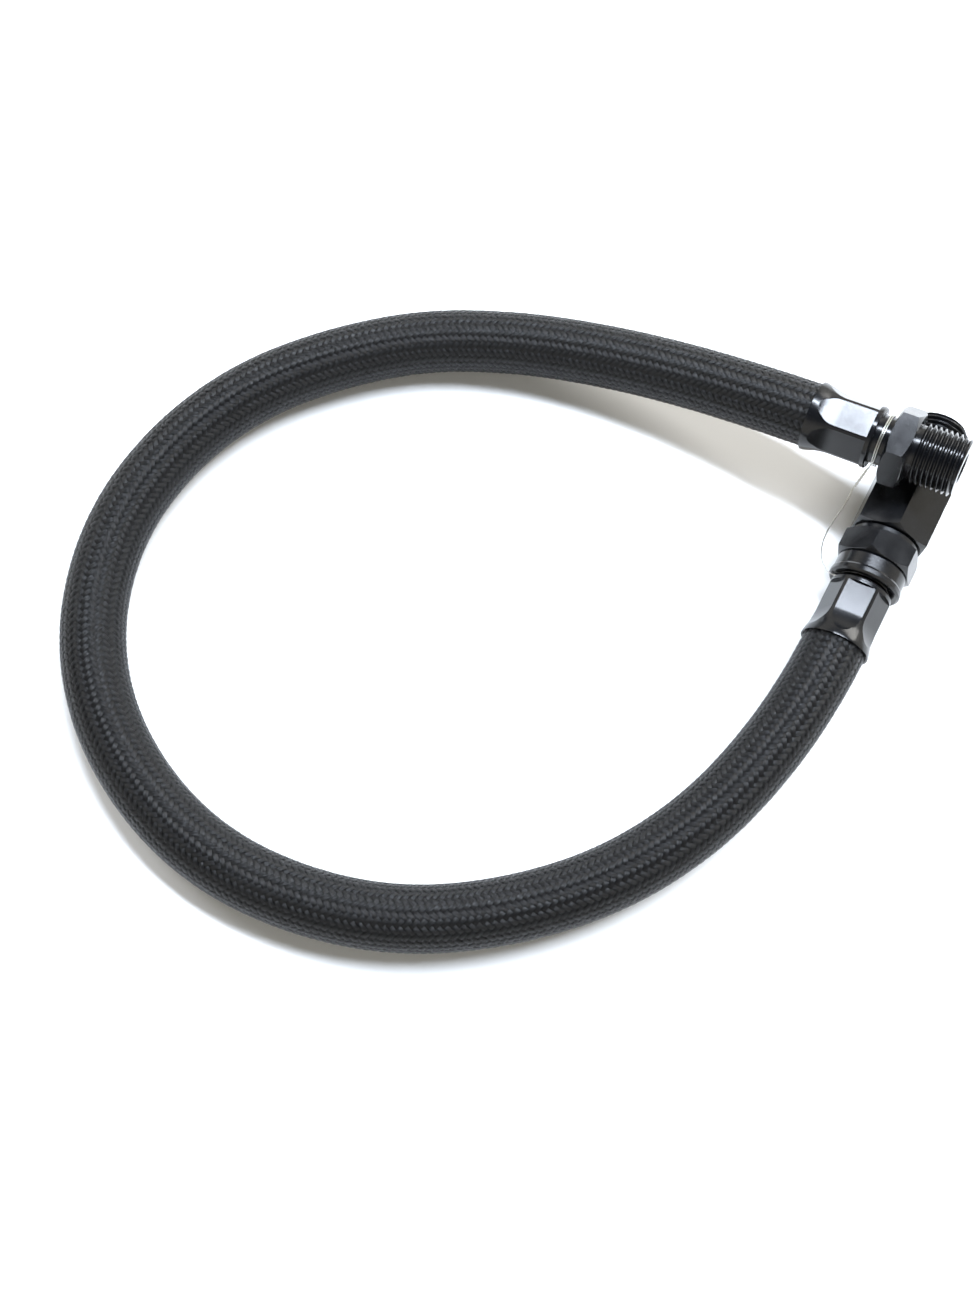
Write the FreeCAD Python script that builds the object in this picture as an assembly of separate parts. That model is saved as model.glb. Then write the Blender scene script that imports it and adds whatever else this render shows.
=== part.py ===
"""Hydraulic hose assembly: a braided half-inch hose laid on a table in one teardrop loop.

End A is a fixed male end and lies across end B, which has a swivel nut and a long male adapter.
A thin tie wire holds the two ends together. Units are millimetres. +Z is up and the table is at
z = 0. +Y runs along end B towards its thread, and end A points along +X, tilted up a little.
A station is a distance along a fitting from its socket's inner end, positive towards the thread.
"""

import FreeCAD, Part

import math
import os

from FreeCAD import Vector

# Hose plies, from the bore outwards
HOSE_BORE_RADIUS = 6.35
LINER_RADIUS = 8.3
TEXTILE_BRAID_RADIUS = 8.8
WIRE_BRAID_RADIUS = 9.3
HOSE_RADIUS = 11.4

# Sockets, which hold the skived hose ends
SOCKET_LENGTH = 23.4
SOCKET_RADIUS = 11.0
SOCKET_MOUTH_RADIUS = 12.2
MOUTH_BORE_RADIUS = 11.5
MOUTH_DEPTH = 2.0
SOCKET_FLAT_DISTANCE = 9.85
FLAT_START = -1.8
FLAT_END = -13.0
FLAT_RUN_OUT_END = -21.5

# Nipples
FLOW_BORE_RADIUS = 5.0
SHOULDER_LENGTH = 4.5
TAIL_LENGTH = 20.0
NECK_RADIUS = 8.6

# Hexes and half-inch pipe threads
HEX_ACROSS_FLATS = 25.4
HEX_CORNER_RADIUS = HEX_ACROSS_FLATS / math.sqrt(3)
HEX_FACE_RADIUS = HEX_ACROSS_FLATS / 2 - 0.2
THREAD_RADIUS = 20.955 / 2
THREAD_CHAMFER = 1.1

# End A: stations of its hex and thread
HEX_A = (5.1, 12.9)
THREAD_A = (14.6, 30.3)
THREAD_A_NECK_RADIUS = 9.3

# End B: stations of the swivel nut and the adapter
NUT_COLLAR = (1.2, 8.7)
NUT_COLLAR_RADIUS = 12.9
NUT_HEX = (9.5, 19.0)
NUT_END = 21.1
NUT_NECK_RADIUS = 12.0
NUT_BACK_BORE_RADIUS = 8.57
NUT_SHOULDER = 7.0
NUT_THREAD_RADIUS = 11.16
SWIVEL_RADIUS = 8.5
NOSE_END = 9.6
NOSE_SEAT_RADIUS = 7.9
SEAT_ANGLE = 37.0
SEAT_GAP = 0.04
ADAPTER_NUT_THREAD = (13.0, 20.5)
ADAPTER_NUT_THREAD_RADIUS = 11.11
ADAPTER_HEX = (21.3, 53.0)
ADAPTER_THREAD = (55.0, 71.0)

# Nut retaining wire, in half a groove in the nipple and half in the nut
LOCK_WIRE_STATION = 4.2
LOCK_WIRE_RADIUS = 0.5
LOCK_WIRE_RING_RADIUS = 8.58
LOCK_GROOVE_HALF_WIDTH = 0.65
NIPPLE_GROOVE_RADIUS = 8.0
NUT_GROOVE_RADIUS = 9.2

# Where the ends lie: B rests on a corner of the adapter's hex. A crosses over the corner above it
# with room for a mating sleeve round its thread
END_B_X = 15.3
END_B_Y = -23.8
END_B_Z = HEX_CORNER_RADIUS
CROSSING_Y = 19.6
CROSSING_STATION_A = 20.75
TILT_A = 12.0
CROSSING_GAP = 1.45

# How each hex is turned about its fitting's axis, in degrees
HEX_A_TURN = 42.0
NUT_HEX_TURN = 11.0
ADAPTER_HEX_TURN = 30.0
SOCKET_A_TURN = 8.0
SOCKET_B_TURN = 20.0

# Tie wire
TIE_WIRE_RADIUS = 0.25
TIE_RING_RADIUS = 9.7
TIE_STATION_A = 2.5
TIE_STATION_B = 0.6
TIE_STRAND = [
    (-2.8, 10.0, 29.5),
    (-3.6, -1.0, 24.0),
    (-4.4, -10.0, 20.0),
    (-3.6, -15.0, 17.0),
    (-1.2, -20.0, 15.2),
    (2.6, -23.0, 14.7),
]

# The hose's route between the two fittings, from end A round the loop to end B
LOOP_POINTS = [
    (-74.0, 18.2, 22.4),
    (-106.0, 13.6, 17.0),
    (-138.0, 5.0, 13.0),
    (-169.0, -10.0, 11.4),
    (-195.0, -33.0, 11.4),
    (-216.0, -60.0, 11.4),
    (-228.0, -92.0, 11.4),
    (-230.0, -127.0, 11.4),
    (-219.0, -161.0, 11.4),
    (-198.0, -187.0, 11.4),
    (-168.0, -205.0, 11.4),
    (-135.0, -213.0, 11.4),
    (-100.0, -210.0, 11.4),
    (-68.0, -199.0, 11.4),
    (-39.0, -179.0, 11.4),
    (-15.0, -154.0, 11.4),
    (2.0, -124.0, 11.7),
    (11.3, -92.0, 13.2),
]
HOSE_EXIT_STATION = -37.0
ARC_SHARE = 0.45

TILT = math.radians(TILT_A)
AXIS_A = Vector(math.cos(TILT), 0, math.sin(TILT))
AXIS_B = Vector(0, 1, 0)
CROSSING_Z = END_B_Z + HEX_CORNER_RADIUS + THREAD_RADIUS / math.cos(TILT) + CROSSING_GAP
ORIGIN_A = Vector(END_B_X, CROSSING_Y, CROSSING_Z) - AXIS_A * CROSSING_STATION_A
ORIGIN_B = Vector(END_B_X, END_B_Y, END_B_Z)


def point_a(station):
    return ORIGIN_A + AXIS_A * station


def point_b(station):
    return ORIGIN_B + AXIS_B * station


def turned(outline):
    """A solid of revolution about Z from (radius, station) points."""
    points = [Vector(radius, 0, station) for radius, station in outline]
    face = Part.Face(Part.makePolygon(points + points[:1]))
    return face.revolve(Vector(0, 0, 0), Vector(0, 0, 1), 360)


def rod(radius, start, end):
    return Part.makeCylinder(radius, end - start, Vector(0, 0, start))


def hexagon(span, turn):
    """A hexagonal prism with both ends chamfered at 30 degrees."""
    start, end = span
    corners = []
    for index in range(7):
        angle = math.radians(turn + 60 * index)
        corners.append(Vector(math.cos(angle), math.sin(angle), 0) * HEX_CORNER_RADIUS)
    prism = Part.Face(Part.makePolygon(corners)).extrude(Vector(0, 0, end - start))
    prism.translate(Vector(0, 0, start))
    outside = HEX_CORNER_RADIUS + 0.2
    rise = (outside - HEX_FACE_RADIUS) * math.tan(math.radians(30))
    blank = turned([
        (0, start),
        (HEX_FACE_RADIUS, start),
        (outside, start + rise),
        (outside, end - rise),
        (HEX_FACE_RADIUS, end),
        (0, end),
    ])
    return prism.common(blank)


def thread(span):
    """The crest cylinder of a half-inch pipe thread, chamfered at its free end."""
    start, end = span
    return turned([
        (0, start),
        (THREAD_RADIUS, start),
        (THREAD_RADIUS, end - THREAD_CHAMFER),
        (THREAD_RADIUS - THREAD_CHAMFER, end),
        (0, end),
    ])


def make_socket(turn):
    body = turned([
        (WIRE_BRAID_RADIUS, 0),
        (SOCKET_RADIUS - 0.4, 0),
        (SOCKET_RADIUS, -0.4),
        (SOCKET_RADIUS, -14.0),
        (SOCKET_RADIUS + 0.3, -18.5),
        (SOCKET_MOUTH_RADIUS, -22.4),
        (SOCKET_MOUTH_RADIUS, -SOCKET_LENGTH),
        (MOUTH_BORE_RADIUS, -SOCKET_LENGTH),
        (MOUTH_BORE_RADIUS, MOUTH_DEPTH - SOCKET_LENGTH),
        (WIRE_BRAID_RADIUS, MOUTH_DEPTH - SOCKET_LENGTH),
    ])
    flat, outside = SOCKET_FLAT_DISTANCE, SOCKET_MOUTH_RADIUS + 2
    depth = SOCKET_MOUTH_RADIUS - flat
    length = FLAT_END - FLAT_RUN_OUT_END
    run_out_radius = (length ** 2 + depth ** 2) / (2 * depth)
    half = math.asin(length / run_out_radius) / 2
    middle = Vector(
        flat + run_out_radius * (1 - math.cos(half)), 0, FLAT_END - run_out_radius * math.sin(half)
    )
    inner_start, inner_end = Vector(flat, 0, FLAT_START), Vector(flat, 0, FLAT_END)
    outer_end = Vector(SOCKET_MOUTH_RADIUS, 0, FLAT_RUN_OUT_END)
    edges = [
        Part.makeLine(inner_start, inner_end),
        Part.Arc(inner_end, middle, outer_end).toShape(),
        Part.makeLine(outer_end, Vector(outside, 0, FLAT_RUN_OUT_END)),
        Part.makeLine(Vector(outside, 0, FLAT_RUN_OUT_END), Vector(outside, 0, FLAT_START)),
        Part.makeLine(Vector(outside, 0, FLAT_START), inner_start),
    ]
    cutter = Part.Face(Part.Wire(edges)).extrude(Vector(0, 2 * outside, 0))
    cutter.translate(Vector(0, -outside, 0))
    for index in range(6):
        tool = cutter.copy()
        tool.rotate(Vector(0, 0, 0), Vector(0, 0, 1), turn + 60 * index)
        body = body.cut(tool)
    return body


def nipple_tail():
    """The shoulder in the socket and the tail inside the hose."""
    tail = rod(HOSE_BORE_RADIUS, -TAIL_LENGTH, -SHOULDER_LENGTH)
    return tail.fuse(rod(WIRE_BRAID_RADIUS, -SHOULDER_LENGTH, 0))


def make_male_nipple():
    shape = nipple_tail().fuse(rod(NECK_RADIUS, 0, HEX_A[0]))
    shape = shape.fuse(hexagon(HEX_A, HEX_A_TURN))
    shape = shape.fuse(rod(THREAD_A_NECK_RADIUS, HEX_A[1], THREAD_A[0]))
    shape = shape.fuse(thread(THREAD_A))
    return shape.cut(rod(FLOW_BORE_RADIUS, -TAIL_LENGTH, THREAD_A[1]))


def seat_station(radius):
    """Where the conical seat has this radius."""
    return NOSE_END - (NOSE_SEAT_RADIUS - radius) / math.tan(math.radians(SEAT_ANGLE))


def make_swivel_nipple():
    shape = nipple_tail().fuse(rod(NECK_RADIUS, 0, NUT_COLLAR[0] - 0.1))
    shape = shape.fuse(rod(SWIVEL_RADIUS, 0, NOSE_END))
    groove = turned([
        (NIPPLE_GROOVE_RADIUS, LOCK_WIRE_STATION - LOCK_GROOVE_HALF_WIDTH),
        (SWIVEL_RADIUS + 1, LOCK_WIRE_STATION - LOCK_GROOVE_HALF_WIDTH),
        (SWIVEL_RADIUS + 1, LOCK_WIRE_STATION + LOCK_GROOVE_HALF_WIDTH),
        (NIPPLE_GROOVE_RADIUS, LOCK_WIRE_STATION + LOCK_GROOVE_HALF_WIDTH),
    ])
    seat = turned([
        (0, seat_station(FLOW_BORE_RADIUS)),
        (FLOW_BORE_RADIUS, seat_station(FLOW_BORE_RADIUS)),
        (NOSE_SEAT_RADIUS, NOSE_END),
        (0, NOSE_END),
    ])
    shape = shape.cut(groove).cut(seat)
    return shape.cut(rod(FLOW_BORE_RADIUS, -TAIL_LENGTH, NOSE_END))


def make_swivel_nut():
    collar_start, collar_end = NUT_COLLAR
    shape = turned([
        (0, collar_start),
        (NUT_COLLAR_RADIUS - 0.7, collar_start),
        (NUT_COLLAR_RADIUS, collar_start + 0.7),
        (NUT_COLLAR_RADIUS, collar_start + 2.2),
        (NUT_COLLAR_RADIUS - 0.5, collar_start + 3.0),
        (NUT_COLLAR_RADIUS - 0.5, collar_end),
        (NUT_COLLAR_RADIUS - 1.1, NUT_HEX[0]),
        (NUT_COLLAR_RADIUS - 1.1, NUT_HEX[0] + 1),
        (NUT_NECK_RADIUS, NUT_HEX[1] - 1),
        (NUT_NECK_RADIUS, NUT_END - 0.5),
        (NUT_NECK_RADIUS - 0.5, NUT_END),
        (0, NUT_END),
    ])
    shape = shape.fuse(hexagon(NUT_HEX, NUT_HEX_TURN))
    groove = rod(
        NUT_GROOVE_RADIUS,
        LOCK_WIRE_STATION - LOCK_GROOVE_HALF_WIDTH,
        LOCK_WIRE_STATION + LOCK_GROOVE_HALF_WIDTH,
    )
    shape = shape.cut(rod(NUT_BACK_BORE_RADIUS, collar_start, NUT_END)).cut(groove)
    return shape.cut(rod(NUT_THREAD_RADIUS, NUT_SHOULDER, NUT_END))


def make_adapter():
    slope = math.tan(math.radians(SEAT_ANGLE))
    tip = seat_station(FLOW_BORE_RADIUS) + 0.3
    thread_start, thread_end = ADAPTER_NUT_THREAD
    cone_end = thread_start - 0.6

    def radius_at(station):
        return NOSE_SEAT_RADIUS - (NOSE_END - station) * slope - SEAT_GAP

    shape = turned([
        (0, tip),
        (radius_at(tip), tip),
        (radius_at(cone_end), cone_end),
        (ADAPTER_NUT_THREAD_RADIUS - 0.7, thread_start - 0.3),
        (ADAPTER_NUT_THREAD_RADIUS, thread_start + 0.4),
        (ADAPTER_NUT_THREAD_RADIUS, thread_end),
        (THREAD_A_NECK_RADIUS, thread_end + 0.4),
        (THREAD_A_NECK_RADIUS, ADAPTER_THREAD[0]),
        (0, ADAPTER_THREAD[0]),
    ])
    shape = shape.fuse(hexagon(ADAPTER_HEX, ADAPTER_HEX_TURN)).fuse(thread(ADAPTER_THREAD))
    return shape.cut(rod(FLOW_BORE_RADIUS, tip - 1, ADAPTER_THREAD[1]))


def make_lock_wire():
    centre = Vector(0, 0, LOCK_WIRE_STATION)
    return Part.makeTorus(LOCK_WIRE_RING_RADIUS, LOCK_WIRE_RADIUS, centre)


def rounded_path(points):
    """Straight runs joined by tangent arcs, each arc as large as its two runs allow."""
    edges, radii = [], []
    start = points[0]
    for before, corner, after in zip(points, points[1:], points[2:]):
        back, onward = before - corner, after - corner
        reach = ARC_SHARE * min(back.Length, onward.Length)
        turn = math.pi - back.getAngle(onward)
        radius = reach / math.tan(turn / 2)
        back.normalize()
        onward.normalize()
        inward = (back + onward).normalize()
        centre = corner + inward * (radius / math.cos(turn / 2))
        arc_start, arc_end = corner + back * reach, corner + onward * reach
        edges.append(Part.LineSegment(start, arc_start).toShape())
        edges.append(Part.Arc(arc_start, centre - inward * radius, arc_end).toShape())
        radii.append(radius)
        start = arc_end
    edges.append(Part.LineSegment(start, points[-1]).toShape())
    return Part.Wire(edges), radii


def tube(points, radius):
    """A solid round bar along the rounded path."""
    path, radii = rounded_path(points)
    section = Part.Wire(Part.makeCircle(radius, points[0], points[1] - points[0]))
    solid = path.makePipeShell([section], True, False)
    return solid, path.Length, radii


def route_from(station):
    """The hose's route, from this station inside one socket to the same in the other."""
    start = [point_a(station), point_a(HOSE_EXIT_STATION)]
    end = [point_b(HOSE_EXIT_STATION), point_b(station)]
    return start + [Vector(*point) for point in LOOP_POINTS] + end


def make_ply(inner_radius, outer_radius, cover=False):
    full = route_from(-SHOULDER_LENGTH)
    outer, length, radii = tube(full, outer_radius)
    inner, length, radii = tube(full, inner_radius)
    ply = outer.cut(inner)
    if cover:
        sleeve = MOUTH_DEPTH - SOCKET_LENGTH
        room = outer_radius + 1
        for point, axis in ((point_a, AXIS_A), (point_b, AXIS_B)):
            trim = Part.makeCylinder(room, 40, point(sleeve), axis)
            ply = ply.cut(trim)
        length += 2 * (sleeve + SHOULDER_LENGTH)
    expected = math.pi * (outer_radius ** 2 - inner_radius ** 2) * length
    print("ply %.2f-%.2f mm: length %.1f mm, volume / (section x length) = %.4f"
          % (inner_radius, outer_radius, length, ply.Volume / expected))
    print("  arc radii, mm:", [round(radius) for radius in radii])
    return ply


def tie_ring(centre, sideways, upwards, first, last):
    """Corners of an octagon round a neck; whole-number steps of 45 degrees, first to last."""
    ring = []
    for step in range(first, last + (1 if last > first else -1), 1 if last > first else -1):
        angle = math.radians(45 * step)
        ring.append(centre + (sideways * math.cos(angle) + upwards * math.sin(angle)) * TIE_RING_RADIUS)
    return ring


def make_tie_wire():
    front = Vector(0, -1, 0)
    up_a = Vector(-math.sin(TILT), 0, math.cos(TILT))
    ring_a = tie_ring(point_a(TIE_STATION_A), front, up_a, 7, 0)
    left = Vector(-1, 0, 0)
    ring_b = tie_ring(point_b(TIE_STATION_B), left, Vector(0, 0, 1), 0, 6)
    strand = [Vector(*point) for point in TIE_STRAND]
    solid, length, radii = tube(ring_a + strand + ring_b, TIE_WIRE_RADIUS)
    return solid


def placed(shape, origin, axis):
    """Moves a fitting from its own Z axis to where it lies."""
    turn = FreeCAD.Rotation(Vector(0, 0, 1), axis)
    moved = shape.copy()
    moved.Placement = FreeCAD.Placement(origin, turn)
    return moved


def at_a(shape):
    return placed(shape, ORIGIN_A, AXIS_A)


def at_b(shape):
    return placed(shape, ORIGIN_B, AXIS_B)


def main():
    os.makedirs("parts", exist_ok=True)
    nodes = {
        "hose_liner": make_ply(HOSE_BORE_RADIUS, LINER_RADIUS),
        "hose_textile_braid": make_ply(LINER_RADIUS, TEXTILE_BRAID_RADIUS),
        "hose_wire_braid": make_ply(TEXTILE_BRAID_RADIUS, WIRE_BRAID_RADIUS),
        "hose_cover_braid": make_ply(WIRE_BRAID_RADIUS, HOSE_RADIUS, cover=True),
        "socket_a": at_a(make_socket(SOCKET_A_TURN)),
        "male_nipple_a": at_a(make_male_nipple()),
        "socket_b": at_b(make_socket(SOCKET_B_TURN)),
        "swivel_nipple_b": at_b(make_swivel_nipple()),
        "swivel_nut_b": at_b(make_swivel_nut()),
        "nut_lock_wire_b": at_b(make_lock_wire()),
        "adapter_b": at_b(make_adapter()),
        "tie_wire": make_tie_wire(),
    }
    for name, shape in nodes.items():
        box = shape.BoundBox
        print("%-20s valid=%s solids=%d volume=%.0f x %.2f..%.2f y %.2f..%.2f z %.2f..%.2f" % (
            name, shape.isValid(), len(shape.Solids), shape.Volume,
            box.XMin, box.XMax, box.YMin, box.YMax, box.ZMin, box.ZMax,
        ))
        shape.exportStep("parts/%s.step" % name)


main()
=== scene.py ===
"""Looks of a braided half-inch hydraulic hose assembly, laid on a table in one teardrop loop.

End A is a fixed male end and crosses over end B, which has a swivel nut and a long male adapter.
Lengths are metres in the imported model's frame: +Z is up and the table is at z = 0. A station is a
distance along a fitting from its socket's inner end, positive towards the thread.
"""

import random
from math import ceil, cos, pi, radians, sin, tan

import bmesh
import bpy
import numpy as np
from mathutils import Matrix, Vector


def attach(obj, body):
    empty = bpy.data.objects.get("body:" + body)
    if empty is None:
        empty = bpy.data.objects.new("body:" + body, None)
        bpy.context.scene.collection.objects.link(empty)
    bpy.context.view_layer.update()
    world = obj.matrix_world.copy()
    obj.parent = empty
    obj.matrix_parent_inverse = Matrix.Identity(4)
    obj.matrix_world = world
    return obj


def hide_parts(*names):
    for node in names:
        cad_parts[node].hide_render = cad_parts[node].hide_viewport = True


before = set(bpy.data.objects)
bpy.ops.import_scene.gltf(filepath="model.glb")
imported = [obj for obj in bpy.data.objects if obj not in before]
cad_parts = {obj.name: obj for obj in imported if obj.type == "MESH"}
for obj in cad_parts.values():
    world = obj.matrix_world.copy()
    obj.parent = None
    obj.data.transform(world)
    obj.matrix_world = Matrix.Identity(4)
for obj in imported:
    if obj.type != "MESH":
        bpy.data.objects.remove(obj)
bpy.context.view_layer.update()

MM = 0.001

# ---------------------------------------------------------------- sizes, in millimetres

SOCKET_LENGTH = 23.4
MOUTH_DEPTH = 2.0
FLOW_BORE_RADIUS = 5.0
HOSE_BORE_RADIUS = 6.35
SHOULDER_RADIUS = 9.3
SHOULDER_LENGTH = 4.5
TAIL_LENGTH = 20.0
NECK_RADIUS = 8.6
THREAD_NECK_RADIUS = 9.3

HEX_DISTANCE = 12.7
HEX_BLANK_RADIUS = HEX_DISTANCE / cos(radians(30)) + 0.2
HEX_FACE_RADIUS = HEX_DISTANCE - 0.2
HEX_CHAMFER = (HEX_BLANK_RADIUS - HEX_FACE_RADIUS) * tan(radians(30))

PITCH = 1.814
CREST_RADIUS = 10.4775
ROOT_RADIUS = 9.33
THREAD_CHAMFER = 1.1

HEX_A = (5.1, 12.9)
THREAD_A = (14.6, 30.3)
HEX_A_TURN = 42.0

NOSE_STATION = 6.05
CONE_END = 12.4
NUT_THREAD = (13.0, 20.5)
NUT_THREAD_RADIUS = 11.11
ADAPTER_HEX = (21.3, 53.0)
ADAPTER_THREAD = (55.0, 71.0)
ADAPTER_HEX_TURN = 30.0

TILT = radians(12.0)
ORIGIN_A = Vector((-4.9966, 19.6, 37.1769))
AXIS_A = Vector((cos(TILT), 0, sin(TILT)))
ORIGIN_B = Vector((15.3, -23.8, 14.665))
AXIS_B = Vector((0, 1, 0))

LOOP_POINTS = [
    (-74.0, 18.2, 22.4),
    (-106.0, 13.6, 17.0),
    (-138.0, 5.0, 13.0),
    (-169.0, -10.0, 11.4),
    (-195.0, -33.0, 11.4),
    (-216.0, -60.0, 11.4),
    (-228.0, -92.0, 11.4),
    (-230.0, -127.0, 11.4),
    (-219.0, -161.0, 11.4),
    (-198.0, -187.0, 11.4),
    (-168.0, -205.0, 11.4),
    (-135.0, -213.0, 11.4),
    (-100.0, -210.0, 11.4),
    (-68.0, -199.0, 11.4),
    (-39.0, -179.0, 11.4),
    (-15.0, -154.0, 11.4),
    (2.0, -124.0, 11.7),
    (11.3, -92.0, 13.2),
]
HOSE_EXIT_STATION = -37.0
SLEEVE_STATION = MOUTH_DEPTH - SOCKET_LENGTH

# The cover: flat nylon strands that wind both ways, each over two and under two
STRANDS = 28
BRAID_RADIUS = 11.05
CORE_RADIUS = 10.72
STRAND_WIDTH = 1.66
STRAND_RISE = 0.27
STRAND_CROWN = 0.15
STRAND_FACES_ACROSS = 4
STRAND_GROUPS = 2
DIAGONAL = cos(radians(45))

# The tie wire: doubled round end A's neck, twisted, then single down to end B's neck
TIE_WIRE_RADIUS = 0.25
TIE_RING_RADIUS = 9.75
TIE_STATION_A = 2.5
TIE_STATION_B = 0.6
TWIST_STEPS = 14
TWIST_LINE = [(-2.9, 9.4, 34.0), (-3.3, 6.9, 31.2), (-3.8, 3.9, 28.8)]
STRAND_LINE = [
    (-3.6, -1.0, 24.6),
    (-4.8, -9.0, 20.4),
    (-4.6, -14.5, 17.6),
    (-2.6, -19.6, 15.4),
    (1.2, -23.0, 14.7),
]

# The room is bright round its walls and dim overhead
ROOM_LIGHT = [(0.42, (1.0, 0.96, 0.86, 1)), (0.84, (0.03, 0.033, 0.04, 1))]

TURNING_STEPS = 120
THREAD_STEPS = 48
EDGE_WIDTH = 0.16
EDGE_ANGLE = 14.0


def point_a(station):
    return ORIGIN_A + AXIS_A * station


def point_b(station):
    return ORIGIN_B + AXIS_B * station


# ---------------------------------------------------------------- camera and light


def add_camera():
    data = bpy.data.cameras.new("camera")
    data.lens, data.sensor_width = 35.81, 36.0
    data.clip_start, data.clip_end = 0.01, 20.0
    camera = bpy.data.objects.new("camera", data)
    camera.location = (-0.02948, -0.21474, 0.448)
    camera.rotation_euler = (radians(15.9), 0, radians(28.5))
    bpy.context.collection.objects.link(camera)
    bpy.context.scene.camera = camera


def add_softbox(name, place, target, size, power, tint):
    data = bpy.data.lights.new(name, "AREA")
    data.shape, data.size, data.size_y = "RECTANGLE", *size
    data.energy, data.color = power, tint
    lamp = bpy.data.objects.new(name, data)
    lamp.location = place
    lamp.rotation_euler = (Vector(target) - Vector(place)).to_track_quat("-Z", "Y").to_euler()
    bpy.context.collection.objects.link(lamp)


def set_tones():
    bpy.context.scene.view_settings.view_transform = "Standard"


def add_lights():
    middle = (-0.1, -0.08, 0.0)
    add_softbox("window_light", (0.55, 1.25, 0.85), middle, (1.1, 0.8), 22, (1.0, 0.985, 0.95))
    add_softbox("far_window", (-1.3, 0.2, 1.0), middle, (0.5, 0.9), 10, (0.93, 0.96, 1.0))
    add_softbox("lamp_strip", (-0.05, 0.32, 1.15), middle, (0.95, 0.16), 32, (0.80, 0.88, 1.0))
    world = bpy.data.worlds.new("room")
    bpy.context.scene.world = world
    world.use_nodes = True
    tree = world.node_tree
    background = tree.nodes["Background"]
    background.inputs["Strength"].default_value = 1.0
    outward = tree.nodes.new("ShaderNodeTexCoord")
    height = tree.nodes.new("ShaderNodeSeparateXYZ")
    ramp = tree.nodes.new("ShaderNodeValToRGB")
    ramp.color_ramp.interpolation = "EASE"
    for stop, (share, light) in zip(ramp.color_ramp.elements, ROOM_LIGHT):
        stop.position, stop.color = share, light
    tree.links.new(outward.outputs["Generated"], height.inputs["Vector"])
    tree.links.new(height.outputs["Z"], ramp.inputs["Fac"])
    tree.links.new(ramp.outputs["Color"], background.inputs["Color"])


# ---------------------------------------------------------------- finishes


class Value:
    """One output of a shader node; sums with it add Math nodes."""

    def __init__(self, finish, socket):
        self.finish, self.socket = finish, socket

    def maths(self, operation, first, second=0.0, third=0.0):
        return self.finish.node(
            "ShaderNodeMath", {"operation": operation}, {0: first, 1: second, 2: third}
        )

    def __add__(self, other):
        return self.maths("ADD", self, other)

    def __sub__(self, other):
        return self.maths("SUBTRACT", self, other)

    def __rsub__(self, other):
        return self.maths("SUBTRACT", other, self)

    def __mul__(self, other):
        return self.maths("MULTIPLY", self, other)

    def __gt__(self, other):
        return self.maths("GREATER_THAN", self, other)

    def absolute(self):
        return self.maths("ABSOLUTE", self)

    def sine(self):
        return self.maths("SINE", self)

    def between(self, low, high):
        """0 below low, 1 above high and a smooth rise from one to the other."""
        return self.finish.node(
            "ShaderNodeMapRange",
            {"interpolation_type": "SMOOTHSTEP"},
            {"Value": self, "From Min": low, "From Max": high},
        )

    __radd__, __rmul__ = __add__, __mul__


class Finish:
    """A material and the nodes that it is mixed from."""

    def __init__(self, name):
        self.material = bpy.data.materials.new(name)
        self.material.use_nodes = True
        self.tree = self.material.node_tree
        self.tree.nodes.clear()

    def node(self, kind, settings=None, inputs=None, output=0):
        node = self.tree.nodes.new(kind)
        for key, value in (settings or {}).items():
            setattr(node, key, value)
        for key, value in (inputs or {}).items():
            if isinstance(value, Value):
                self.tree.links.new(value.socket, node.inputs[key])
            else:
                node.inputs[key].default_value = value
        return Value(self, node.outputs[output]) if node.outputs else node

    def place(self, scale=(1, 1, 1)):
        """Object coordinates in millimetres, stretched by scale."""
        where = self.node("ShaderNodeTexCoord", output="Object")
        sizes = [1000 * side for side in scale]
        return self.node("ShaderNodeMapping", inputs={"Vector": where, "Scale": sizes})

    def noise(self, where, scale, detail=3.0, rough=0.5):
        return self.node(
            "ShaderNodeTexNoise",
            inputs={"Vector": where, "Scale": scale, "Detail": detail, "Roughness": rough},
        )

    def mix(self, factor, first, second):
        return self.node(
            "ShaderNodeMix",
            {"data_type": "RGBA"},
            {"Factor": factor, 6: (*first, 1) if isinstance(first, tuple) else first,
             7: (*second, 1) if isinstance(second, tuple) else second},
            output=2,
        )

    def bump(self, height, depth, strength=1.0, normal=None):
        """depth is in millimetres for a height of 1."""
        inputs = {"Height": height, "Distance": depth * MM, "Strength": strength}
        if normal:
            inputs["Normal"] = normal
        return self.node("ShaderNodeBump", inputs=inputs)

    def surface(self, **inputs):
        names = {"base": "Base Color", "specular": "Specular IOR Level", "coat": "Coat Weight",
                 "coat_roughness": "Coat Roughness", "sheen": "Sheen Weight",
                 "sheen_roughness": "Sheen Roughness"}
        inputs = {names.get(key, key.title()): value for key, value in inputs.items()}
        base = inputs.get("Base Color")
        if isinstance(base, tuple):
            inputs["Base Color"] = (*base, 1)
        shader = self.node("ShaderNodeBsdfPrincipled", inputs=inputs)
        self.node("ShaderNodeOutputMaterial", inputs={"Surface": shader})
        return self.material


def black_anodised():
    """Black anodised aluminium: a faint milled grain, handling smudges and a few bright nicks."""
    finish = Finish("black_anodised_aluminium")
    place = finish.place()
    smudge = finish.noise(place, 0.16, 4.0)
    grain = finish.noise(place, 9.0, 2.0)
    chips = finish.noise(place, 1.3, 5.0, 0.72).between(0.745, 0.765)
    scratch = finish.noise(finish.place((0.25, 4.0, 1.2)), 1.0, 3.0).between(0.70, 0.74)
    colour = finish.mix(smudge, (0.0028, 0.0031, 0.0040), (0.0060, 0.0064, 0.0074))
    colour = finish.mix(chips, colour, (0.32, 0.33, 0.35))
    return finish.surface(
        base=colour,
        roughness=0.10 + smudge * 0.16 + grain * 0.05 + scratch * 0.12,
        specular=0.42,
        normal=finish.bump(grain * 0.5 + scratch * 0.3 + chips * -1.0, 0.006),
    )


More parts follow.
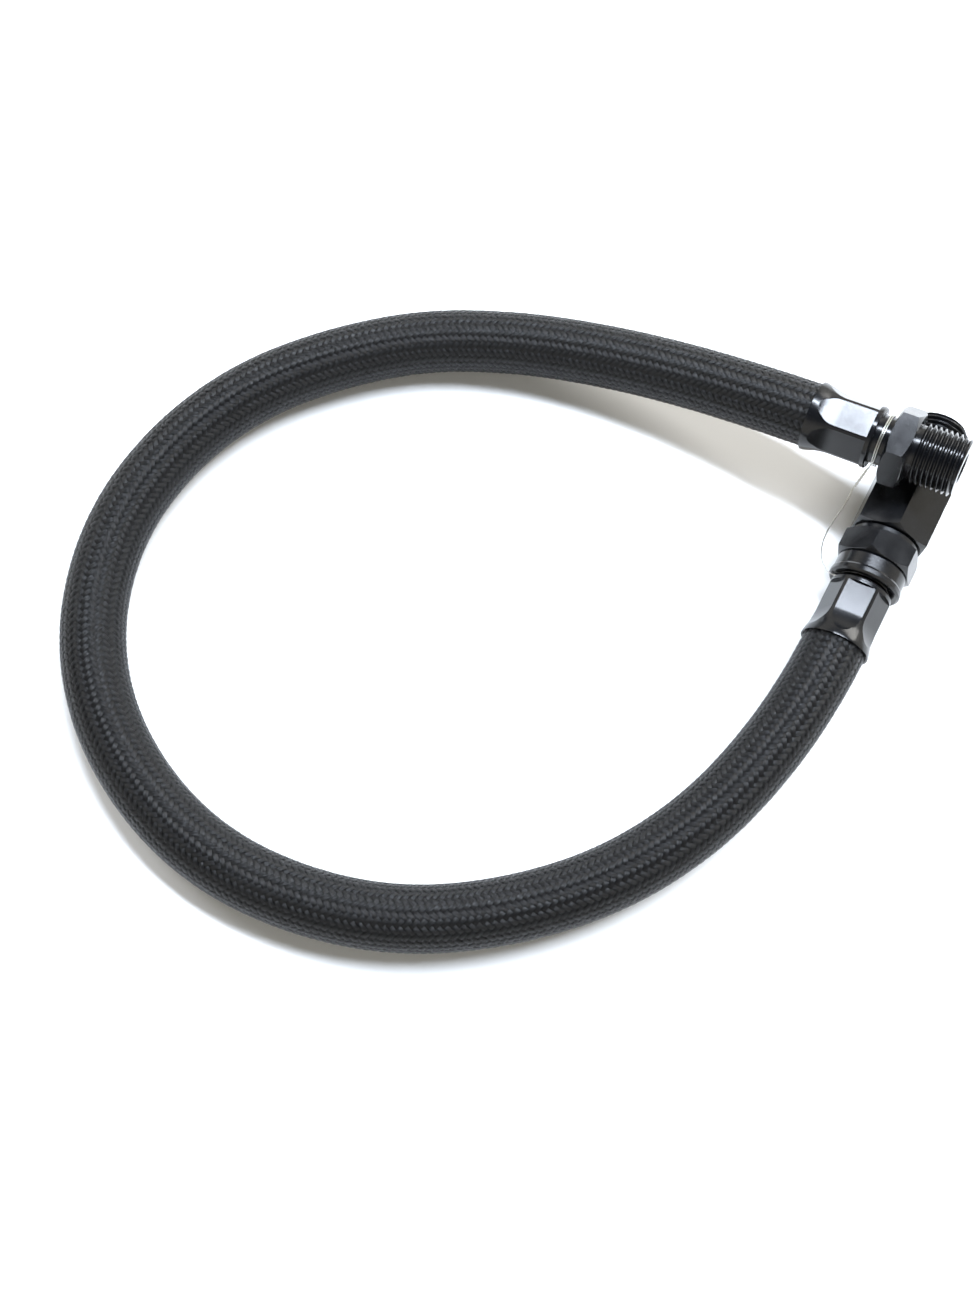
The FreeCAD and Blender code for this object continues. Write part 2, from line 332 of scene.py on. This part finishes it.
def nylon_strand():
    """Flat bundles of nylon filaments; the strand's UV map runs across it and along it."""
    finish = Finish("cover_nylon_strand")
    along = finish.node("ShaderNodeUVMap", {"uv_map": "strand"})
    parts = along.finish.node("ShaderNodeSeparateXYZ", inputs={"Vector": along})
    across = parts
    threads = finish.node("ShaderNodeMapping", inputs={"Vector": along, "Scale": (9.0, 0.35, 1.0)})
    streak = finish.noise(threads, 1.0, 2.0)
    ridges = (across * (pi * 8.0) + streak * 3.0).sine().absolute()
    tone = finish.noise(finish.place(), 0.35, 3.0)
    colour = finish.mix(streak, (0.0008, 0.0009, 0.0012), (0.0036, 0.0040, 0.0050))
    return finish.surface(
        base=colour,
        roughness=0.22 + streak * 0.14 + tone * 0.08,
        specular=0.26,
        normal=finish.bump(ridges, 0.045),
    )


def core_rubber():
    """The dark ply that shows in the gaps of the cover."""
    finish = Finish("cover_core")
    grain = finish.noise(finish.place(), 2.5, 4.0)
    return finish.surface(
        base=finish.mix(grain, (0.0010, 0.0010, 0.0012), (0.0035, 0.0035, 0.0038)),
        roughness=0.7 + grain * 0.2,
        specular=0.1,
        normal=finish.bump(grain, 0.05),
    )


def bright_wire(name, dark, light):
    """Drawn steel wire with fine die lines and dull patches."""
    finish = Finish(name)
    patch = finish.noise(finish.place(), 0.9, 3.0)
    lines = finish.noise(finish.place(), 14.0, 2.0)
    return finish.surface(
        base=finish.mix(patch, dark, light),
        metallic=1.0,
        roughness=0.22 + patch * 0.2,
        normal=finish.bump(lines, 0.01),
    )


def table_white():
    finish = Finish("pale_table")
    cloud = finish.noise(finish.place(), 0.004, 2.0)
    return finish.surface(
        base=finish.mix(cloud, (0.90, 0.90, 0.89), (0.93, 0.93, 0.925)), roughness=0.6, specular=0.3
    )


# ---------------------------------------------------------------- making pieces


def add_piece(name, mesh, finish, body):
    piece = bpy.data.objects.new(name, mesh)
    bpy.context.collection.objects.link(piece)
    mesh.materials.clear()
    mesh.materials.append(finish)
    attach(piece, body)
    return piece


def to_mesh(name, shape):
    mesh = bpy.data.meshes.new(name)
    shape.to_mesh(mesh)
    shape.free()
    mesh.shade_smooth()
    return mesh


def soften_edges(piece, width=EDGE_WIDTH, angle=EDGE_ANGLE):
    """Breaks the machined edges, and keeps the flats flat in the light."""
    edge = piece.modifiers.new("edge_break", "BEVEL")
    edge.width, edge.segments = width * MM, 2
    edge.limit_method, edge.angle_limit = "ANGLE", radians(angle)
    edge.miter_outer = "MITER_ARC"
    flats = piece.modifiers.new("flat_faces", "WEIGHTED_NORMAL")
    flats.keep_sharp = True
    flats.weight = 80


def turn(outline, steps=TURNING_STEPS):
    """A ring turned about Z from a closed outline of (radius, station) points."""
    shape = bmesh.new()
    points = [shape.verts.new((radius * MM, 0, station * MM)) for radius, station in outline]
    sides = [shape.edges.new(pair) for pair in zip(points, points[1:] + points[:1])]
    bmesh.ops.spin(
        shape, geom=points + sides, cent=(0, 0, 0), axis=(0, 0, 1), angle=2 * pi, steps=steps,
        use_merge=True,
    )
    bmesh.ops.recalc_face_normals(shape, faces=shape.faces)
    return shape


def mill_hex(shape, span, turned_by):
    """Cuts six flats on the blank between two stations."""
    start, end = span
    for index in range(6):
        angle = radians(turned_by + 30 + 60 * index)
        outward = Vector((cos(angle), sin(angle), 0))
        near = [f for f in shape.faces
                if start - 0.01 <= f.calc_center_median().z / MM <= end + 0.01]
        geometry = set(near)
        for face in near:
            geometry.update(face.verts, face.edges)
        cut = bmesh.ops.bisect_plane(
            shape, geom=list(geometry), dist=1e-7, plane_co=outward * HEX_DISTANCE * MM,
            plane_no=outward, clear_outer=True,
        )
        rim = [part for part in cut["geom_cut"] if isinstance(part, bmesh.types.BMEdge)]
        bmesh.ops.edgeloop_fill(shape, edges=rim)
    bmesh.ops.recalc_face_normals(shape, faces=shape.faces)


def hex_outline(span):
    """The outside of a hex blank with both ends chamfered, from its lower station up."""
    start, end = span
    return [
        (HEX_FACE_RADIUS, start),
        (HEX_BLANK_RADIUS, start + HEX_CHAMFER),
        (HEX_BLANK_RADIUS, end - HEX_CHAMFER),
        (HEX_FACE_RADIUS, end),
    ]


def cut_thread(shape, span, crest, chamfer_start):
    """Adds a helical thread ridge on a root cylinder, fading in at its start and end."""
    start, end = span
    root = crest - (CREST_RADIUS - ROOT_RADIUS)
    section = [(root - 0.25, -0.47), (root + 0.03, -0.40), (crest - 0.05, -0.10),
               (crest, -0.05), (crest, 0.05), (crest - 0.05, 0.10), (root + 0.03, 0.40),
               (root - 0.25, 0.47)]
    ridge = bmesh.new()
    points = [ridge.verts.new((radius * MM, 0, (start + (share - 1) * PITCH) * MM))
              for radius, share in section]
    sides = [ridge.edges.new(pair) for pair in zip(points, points[1:] + points[:1])]
    turns = ceil((end - start) / PITCH) + 2
    steps = turns * THREAD_STEPS
    bmesh.ops.spin(
        ridge, geom=points + sides, cent=(0, 0, 0), axis=(0, 0, 1), angle=2 * pi * turns,
        steps=steps, dvec=(0, 0, PITCH * MM / THREAD_STEPS),
    )
    for station, side in ((start, -1), (end, 1)):
        cut = bmesh.ops.bisect_plane(
            ridge, geom=ridge.verts[:] + ridge.edges[:] + ridge.faces[:], dist=1e-8,
            plane_co=(0, 0, station * MM), plane_no=(0, 0, side), clear_outer=True,
        )
        rim = [part for part in cut["geom_cut"] if isinstance(part, bmesh.types.BMEdge)]
        bmesh.ops.edgenet_fill(ridge, edges=rim)
    for point in ridge.verts:
        station = point.co.z / MM
        limit = min(
            crest,
            crest - chamfer_start + (station - start) * 1.5,
            crest - THREAD_CHAMFER + (end - station),
        )
        radius = point.co.xy.length / MM
        if radius > limit:
            point.co.xy *= limit / radius
    bmesh.ops.recalc_face_normals(ridge, faces=ridge.faces)
    mesh = bpy.data.meshes.new("thread_ridge")
    ridge.to_mesh(mesh)
    ridge.free()
    shape.from_mesh(mesh)
    bpy.data.meshes.remove(mesh)


def settle(shape, origin, axis):
    """Moves a fitting from its own Z axis to where it lies."""
    lean = Vector((0, 0, 1)).rotation_difference(axis).to_matrix().to_4x4()
    bmesh.ops.transform(
        shape, matrix=Matrix.Translation(origin * MM) @ lean, verts=shape.verts
    )


# ---------------------------------------------------------------- the hose


def route_curve(name, points):
    """A smooth line with these points, in millimetres, as its control points."""
    data = bpy.data.curves.new(name, "CURVE")
    data.dimensions = "3D"
    spline = data.splines.new("NURBS")
    spline.points.add(len(points) - 1)
    for point, place in zip(spline.points, points):
        point.co = (*(Vector(place) * MM), 1)
    spline.order_u = 3
    spline.use_endpoint_u = True
    spline.resolution_u = 24
    data.resolution_u = 24
    curve = bpy.data.objects.new(name, data)
    bpy.context.collection.objects.link(curve)
    return curve


class Line:
    """Points read along a curve, with two sideways directions that don't twist about it."""

    STEP = 0.5 * MM

    def __init__(self, curve):
        mesh = bpy.data.meshes.new_from_object(curve)
        raw = np.array([v.co for v in mesh.vertices])
        bpy.data.meshes.remove(mesh)
        gone = np.concatenate([[0], np.cumsum(np.linalg.norm(np.diff(raw, axis=0), axis=1))])
        self.length = gone[-1]
        self.along = np.linspace(0, self.length, int(self.length / self.STEP) + 1)
        self.points = np.stack([np.interp(self.along, gone, raw[:, i]) for i in range(3)], 1)
        ahead = np.gradient(self.points, axis=0)
        ahead /= np.linalg.norm(ahead, axis=1)[:, None]
        side = np.cross(ahead[0], (0, 0, 1))
        sides = []
        for direction in ahead:
            side = side - direction * side.dot(direction)
            side /= np.linalg.norm(side)
            sides.append(side)
        self.sides = np.array(sides)
        self.ups = np.cross(self.sides, ahead)

    def at(self, along, angle, radius):
        """Places at these distances along, angles about and distances from the line."""
        def read(rows):
            return np.stack([np.interp(along, self.along, rows[:, i]) for i in range(3)], 1)

        out = read(self.sides) * np.cos(angle)[:, None] + read(self.ups) * np.sin(angle)[:, None]
        return read(self.points) + out * radius[:, None]


def make_hose():
    start = [point_a(SLEEVE_STATION), point_a(HOSE_EXIT_STATION)]
    end = [point_b(HOSE_EXIT_STATION), point_b(SLEEVE_STATION)]
    core = route_curve("hose_core", start + LOOP_POINTS + end)
    line = Line(core)
    core.data.bevel_depth = CORE_RADIUS * MM
    core.data.bevel_resolution = 8
    core.data.use_fill_caps = True
    core.data.materials.append(core_rubber())
    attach(core, "root")
    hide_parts("hose_cover_braid", "hose_wire_braid", "hose_textile_braid", "hose_liner")
    finish = nylon_strand()
    for hand, winding in (("right", 1), ("left", -1)):
        for group in range(STRAND_GROUPS):
            mesh = weave(line, winding, group)
            add_piece(f"hose_braid_{hand}_{group + 1}", mesh, finish, "root")
    return line


def weave(line, winding, group):
    """Every second strand of one winding direction, as flat ribbons on the hose's skin."""
    radius = BRAID_RADIUS * MM
    spacing = 2 * pi / STRANDS
    crossing = radius * spacing / 2
    rows = ceil(2 * line.length / crossing)
    ribbon = bmesh.new()
    ribbon.loops.layers.uv.new("strand")
    bmesh.ops.create_grid(
        ribbon, x_segments=STRAND_FACES_ACROSS, y_segments=rows, size=0.5, calc_uvs=True
    )
    pattern = bpy.data.meshes.new("ribbon")
    ribbon.to_mesh(pattern)
    ribbon.free()
    flat = np.array([v.co for v in pattern.vertices])
    across = flat[:, 0] * STRAND_WIDTH * MM
    centre = (flat[:, 1] + 0.5) * rows * crossing / 2
    uv = np.empty(len(pattern.loops) * 2, np.float32)
    layer = pattern.uv_layers["strand"].data
    layer.foreach_get("uv", uv)
    uv = uv.reshape(-1, 2)
    uv[:, 1] *= rows
    draw = random.Random(40 + winding + 7 * group)
    cloth = bmesh.new()
    for strand in range(group, STRANDS, STRAND_GROUPS):
        phase, sway, lift = draw.uniform(0, 2 * pi), draw.uniform(0.02, 0.06), draw.uniform(-0.03, 0.03)
        drift = sway * MM * np.sin(centre / (9.0 * MM) + phase)
        lean = (across + drift) * DIAGONAL
        angle = winding * (spacing * strand + centre / radius) + lean / radius
        place = centre - winding * lean
        step = 2 * strand + centre / crossing
        over = np.tanh(1.9 * np.cos((winding * step - 0.5) * pi / 2)) / np.tanh(1.9)
        height = over * STRAND_RISE * winding + lift
        height -= STRAND_CROWN * (2 * flat[:, 0]) ** 2
        spot = line.at(np.clip(place, 0, line.length), angle, radius + height * MM)
        pattern.vertices.foreach_set("co", spot.astype(np.float32).ravel())
        uv[:, 1] += draw.uniform(50, 90)
        layer.foreach_set("uv", uv.ravel())
        cloth.from_mesh(pattern)
    bpy.data.meshes.remove(pattern)
    bmesh.ops.reverse_faces(cloth, faces=cloth.faces)
    return to_mesh("strands", cloth)


# ---------------------------------------------------------------- the fittings


def nipple_outline(bore_end):
    """The bore and the tail of a nipple, up to its neck."""
    return [
        (FLOW_BORE_RADIUS, bore_end),
        (FLOW_BORE_RADIUS, -TAIL_LENGTH),
        (HOSE_BORE_RADIUS, -TAIL_LENGTH),
        (HOSE_BORE_RADIUS, -SHOULDER_LENGTH),
        (SHOULDER_RADIUS, -SHOULDER_LENGTH),
        (SHOULDER_RADIUS, 0),
        (NECK_RADIUS, 0),
    ]


def threaded_end(span):
    """The root cylinder of a male thread and the broken edge of its bore."""
    start, end = span
    root = ROOT_RADIUS
    return [
        (THREAD_NECK_RADIUS, start),
        (root, start),
        (root, end - 0.3),
        (root - 0.3, end),
        (FLOW_BORE_RADIUS + 0.4, end),
        (FLOW_BORE_RADIUS, end - 0.4),
    ]


def make_male_nipple(finish):
    outline = nipple_outline(THREAD_A[1] - 0.4)[1:] + [(NECK_RADIUS, HEX_A[0])]
    outline += hex_outline(HEX_A) + [(THREAD_NECK_RADIUS, HEX_A[1])] + threaded_end(THREAD_A)
    shape = turn(outline)
    mill_hex(shape, HEX_A, HEX_A_TURN)
    cut_thread(shape, THREAD_A, CREST_RADIUS, 1.0)
    settle(shape, ORIGIN_A, AXIS_A)
    piece = add_piece(
        "male_end_a", to_mesh("male_end_a", shape), finish, "root"
    )
    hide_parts("male_nipple_a")
    soften_edges(piece)


def make_adapter(finish):
    nut_start, nut_end = NUT_THREAD
    root = NUT_THREAD_RADIUS - (CREST_RADIUS - ROOT_RADIUS)
    outline = [
        (FLOW_BORE_RADIUS, NOSE_STATION),
        (FLOW_BORE_RADIUS + 0.2, NOSE_STATION),
        (9.9, CONE_END),
        (root, nut_start - 0.3),
        (root, nut_end),
        (THREAD_NECK_RADIUS, nut_end + 0.4),
        (THREAD_NECK_RADIUS, ADAPTER_HEX[0]),
    ]
    outline += hex_outline(ADAPTER_HEX) + [(THREAD_NECK_RADIUS, ADAPTER_HEX[1])]
    outline += threaded_end(ADAPTER_THREAD)
    shape = turn(outline)
    mill_hex(shape, ADAPTER_HEX, ADAPTER_HEX_TURN)
    cut_thread(shape, NUT_THREAD, NUT_THREAD_RADIUS, 1.0)
    cut_thread(shape, ADAPTER_THREAD, CREST_RADIUS, 1.0)
    settle(shape, ORIGIN_B, AXIS_B)
    piece = add_piece(
        "long_adapter_b", to_mesh("long_adapter_b", shape), finish, "root"
    )
    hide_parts("adapter_b")
    soften_edges(piece)


def finish_from_cad(node, name, finish, body, width=EDGE_WIDTH):
    """A merged copy of a CAD node, so that its edges can be broken."""
    shape = bmesh.new()
    shape.from_mesh(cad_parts[node].data)
    bmesh.ops.remove_doubles(shape, verts=shape.verts, dist=0.002 * MM)
    bmesh.ops.dissolve_limit(
        shape, angle_limit=radians(0.6), use_dissolve_boundaries=False, verts=shape.verts,
        edges=shape.edges,
    )
    piece = add_piece(name, to_mesh(name, shape), finish, body)
    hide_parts(node)
    soften_edges(piece, width)


def lay_wire(name, points, radius=TIE_WIRE_RADIUS):
    """A wire bent smoothly round these points, with its ends closed."""
    curve = route_curve(name, points)
    curve.data.bevel_depth = radius * MM
    curve.data.bevel_resolution = 3
    curve.data.use_fill_caps = True
    mesh = bpy.data.meshes.new_from_object(curve)
    bpy.data.objects.remove(curve)
    mesh.shade_smooth()
    return mesh


def ring_points(centre, sideways, upwards, radius, first, last):
    """Control points round a neck, from one eighth of a turn to another."""
    points = []
    for step in range(first, last + 1):
        angle = radians(45 * step)
        points.append(centre + (sideways * cos(angle) + upwards * sin(angle)) * radius)
    return points


def make_tie_wire():
    finish = bright_wire("tie_wire_steel", (0.40, 0.39, 0.37), (0.70, 0.69, 0.66))
    up_a = Vector((-sin(TILT), 0, cos(TILT)))
    front, left, up = Vector((0, -1, 0)), Vector((-1, 0, 0)), Vector((0, 0, 1))
    pieces = bmesh.new()
    twist = [Vector(place) for place in TWIST_LINE]
    for side in (1, -1):
        ring = ring_points(
            point_a(TIE_STATION_A + 0.35 * side), front, up_a, TIE_RING_RADIUS, 0, 7
        )
        ring.reverse()
        tail = []
        for step in range(TWIST_STEPS + 1):
            share = step / TWIST_STEPS * (len(twist) - 1)
            before = min(int(share), len(twist) - 2)
            centre = twist[before].lerp(twist[before + 1], share - before)
            angle = step * radians(75) + (pi if side < 0 else 0)
            tail.append(centre + (left * cos(angle) + AXIS_A * 0.5 * sin(angle)) * 0.30)
        path = ring + tail
        if side > 0:
            ring_b = ring_points(point_b(TIE_STATION_B), left, up, TIE_RING_RADIUS, 0, 7)
            path += [Vector(place) for place in STRAND_LINE] + ring_b
        wire = lay_wire("tie_wire", path)
        pieces.from_mesh(wire)
        bpy.data.meshes.remove(wire)
    piece = add_piece("tie_wire_twisted", to_mesh("tie_wire", pieces), finish, "root")
    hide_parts("tie_wire")


def make_fittings():
    finish = black_anodised()
    make_male_nipple(finish)
    make_adapter(finish)
    finish_from_cad("socket_a", "socket_end_a", finish, "root", 0.18)
    finish_from_cad("socket_b", "socket_end_b", finish, "root", 0.18)
    finish_from_cad("swivel_nut_b", "swivel_nut", finish, "swivel_nut")
    spring = bright_wire("spring_wire_steel", (0.30, 0.30, 0.31), (0.55, 0.55, 0.56))
    for node, material in (("swivel_nipple_b", finish), ("nut_lock_wire_b", spring)):
        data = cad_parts[node].data
        data.materials.clear()
        data.materials.append(material)


# ---------------------------------------------------------------- table


def make_table():
    top = bmesh.new()
    bmesh.ops.create_grid(top, x_segments=1, y_segments=1, size=4.0)
    table = bpy.data.objects.new("table_top", to_mesh("table_top", top))
    bpy.context.collection.objects.link(table)
    table.data.materials.append(table_white())


add_camera()
add_lights()
set_tones()
make_table()
make_hose()
make_fittings()
make_tie_wire()
